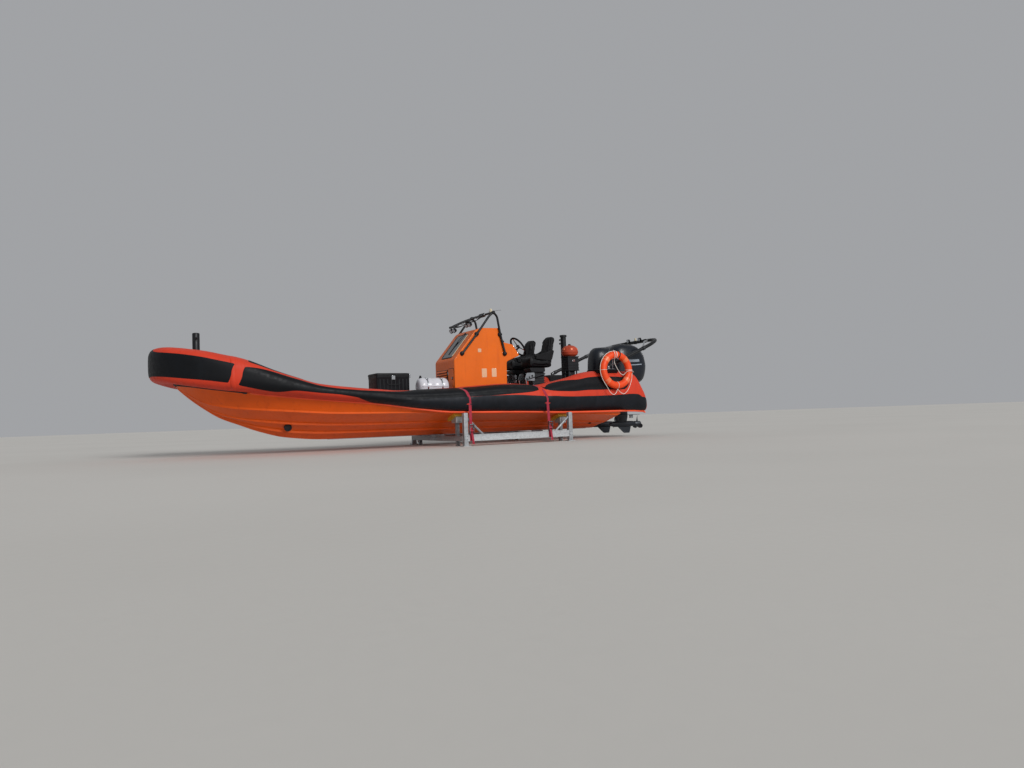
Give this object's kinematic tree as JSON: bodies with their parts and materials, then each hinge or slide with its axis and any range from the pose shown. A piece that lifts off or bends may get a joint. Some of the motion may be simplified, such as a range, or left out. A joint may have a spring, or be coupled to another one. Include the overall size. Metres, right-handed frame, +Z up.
{
  "type": "rigid inflatable boat",
  "caption": "Rigid inflatable rescue boat with console, jockey seats, folding stern arch and tilting outboard engines, lashed on a metal transport cradle.",
  "frame": {"origin": "on the ground under the middle of the overall length and breadth, at the cradle's feet", "axes": "+X to the bow, +Y to port, +Z up"},
  "size_m": [8.8511, 2.333, 2.298],
  "materials": {
    "gelcoat": "gloss",
    "tube_fabric": "satin",
    "deck": "matte",
    "black_coated_metal": "satin",
    "black_moulding": "satin",
    "cushion": "satin",
    "engine_cowl": "gloss",
    "engine_metal": "satin",
    "stainless": "polished",
    "white_shell": "satin",
    "orange_plastic": "satin",
    "windscreen": "gloss",
    "galvanised": "satin",
    "yellow_pad": "matte",
    "webbing": "matte",
    "line": "matte"
  },
  "bodies": {
    "boat": {"hull": "gelcoat", "keel_strip": "galvanised", "deck": "deck", "foredeck": "deck", "transom_board": "gelcoat", "collar_bow": "tube_fabric", "collar_port_fore": "tube_fabric", "collar_starboard_fore": "tube_fabric", "collar_port_aft": "tube_fabric", "collar_starboard_aft": "tube_fabric", "stern_pod_port": "black_moulding", "stern_pod_starboard": "black_moulding", "bow_post": "black_coated_metal", "locker_box": "black_moulding", "liferaft_canister": "white_shell", "liferaft_rack": "stainless", "console": "gelcoat", "console_windscreen": "windscreen", "console_frame": "black_coated_metal", "throttle": "black_moulding", "seat_base_port": "black_moulding", "seat_port": "cushion", "seat_base_starboard": "black_moulding", "seat_starboard": "cushion", "tow_post": "black_coated_metal", "buoy_stand": "black_moulding", "marker_buoy": "orange_plastic", "arch_bracket_port": "stainless", "arch_bracket_starboard": "stainless", "life_ring": "orange_plastic", "ring_peg": "stainless", "ring_line": "line", "engine_clamp_port": "engine_metal", "engine_clamp_starboard": "engine_metal", "cradle_side_port": "galvanised", "cradle_side_starboard": "galvanised", "cradle_cross_front": "galvanised", "cradle_cross_rear": "galvanised", "cradle_pad_front_port": "yellow_pad", "cradle_pad_front_starboard": "yellow_pad", "cradle_pad_rear_port": "yellow_pad", "cradle_pad_rear_starboard": "yellow_pad", "strap_fore_port": "webbing", "strap_fore_starboard": "webbing", "strap_aft_port": "webbing", "strap_aft_starboard": "webbing"},
    "locker_lid": {"locker_lid": "black_moulding"},
    "light_mast": {"console_mast": "black_coated_metal"},
    "wheel": {"steering_wheel": "black_moulding"},
    "arch": {"stern_arch": "black_coated_metal"},
    "engine_tilt_port": {"engine_swivel_port": "engine_metal"},
    "engine_port": {"engine_cowl_port": "engine_cowl", "engine_leg_port": "engine_metal"},
    "prop_port": {"propeller_port": "stainless"},
    "engine_tilt_starboard": {"engine_swivel_starboard": "engine_metal"},
    "engine_starboard": {"engine_cowl_starboard": "engine_cowl", "engine_leg_starboard": "engine_metal"},
    "prop_starboard": {"propeller_starboard": "stainless"}
  },
  "joints": [
    {"name": "locker_lid_hinge", "type": "hinge", "parent": "boat", "child": "locker_lid", "pos_m": [0.4816, 0, 1.2], "axis": [0, -1, 0], "range_deg": [0, 95]},
    {"name": "light_mast_fold", "type": "hinge", "parent": "boat", "child": "light_mast", "pos_m": [-0.9944, 0, 2.262], "axis": [0, -1, 0], "range_deg": [0, 110]},
    {"name": "stern_arch_fold", "type": "hinge", "parent": "boat", "child": "arch", "pos_m": [-3.0044, 0, 1.275], "axis": [0, 1, 0], "range_deg": [0, 65]},
    {"name": "wheel_turn", "type": "hinge", "parent": "boat", "child": "wheel", "pos_m": [-1.53431, 0.3, 1.67993], "axis": [-0.8253, 0, 0.5646], "range_deg": [-360, 360]},
    {"name": "engine_tilt_port", "type": "hinge", "parent": "boat", "child": "engine_tilt_port", "pos_m": [-3.3544, 0.33, 0.93], "axis": [0, 1, 0], "range_deg": [0, 65]},
    {"name": "engine_steer_port", "type": "hinge", "parent": "engine_tilt_port", "child": "engine_port", "pos_m": [-3.4544, 0.33, 0.73], "axis": [0, 0, 1], "range_deg": [-30, 30]},
    {"name": "propeller_spin_port", "type": "hinge", "parent": "engine_port", "child": "prop_port", "pos_m": [-4.0844, 0.33, 0.235], "axis": [1, 0, 0], "continuous": true},
    {"name": "engine_tilt_starboard", "type": "hinge", "parent": "boat", "child": "engine_tilt_starboard", "pos_m": [-3.3544, -0.33, 0.93], "axis": [0, 1, 0], "range_deg": [0, 65]},
    {"name": "engine_steer_starboard", "type": "hinge", "parent": "engine_tilt_starboard", "child": "engine_starboard", "pos_m": [-3.4544, -0.33, 0.73], "axis": [0, 0, 1], "range_deg": [-30, 30]},
    {"name": "propeller_spin_starboard", "type": "hinge", "parent": "engine_starboard", "child": "prop_starboard", "pos_m": [-4.0844, -0.33, 0.235], "axis": [1, 0, 0], "continuous": true}
  ],
  "couplings": [
    {"joint": "engine_steer_starboard", "follows": "engine_steer_port", "ratio": 1},
    {"joint": "wheel_turn", "follows": "engine_steer_port", "ratio": 12}
  ]
}
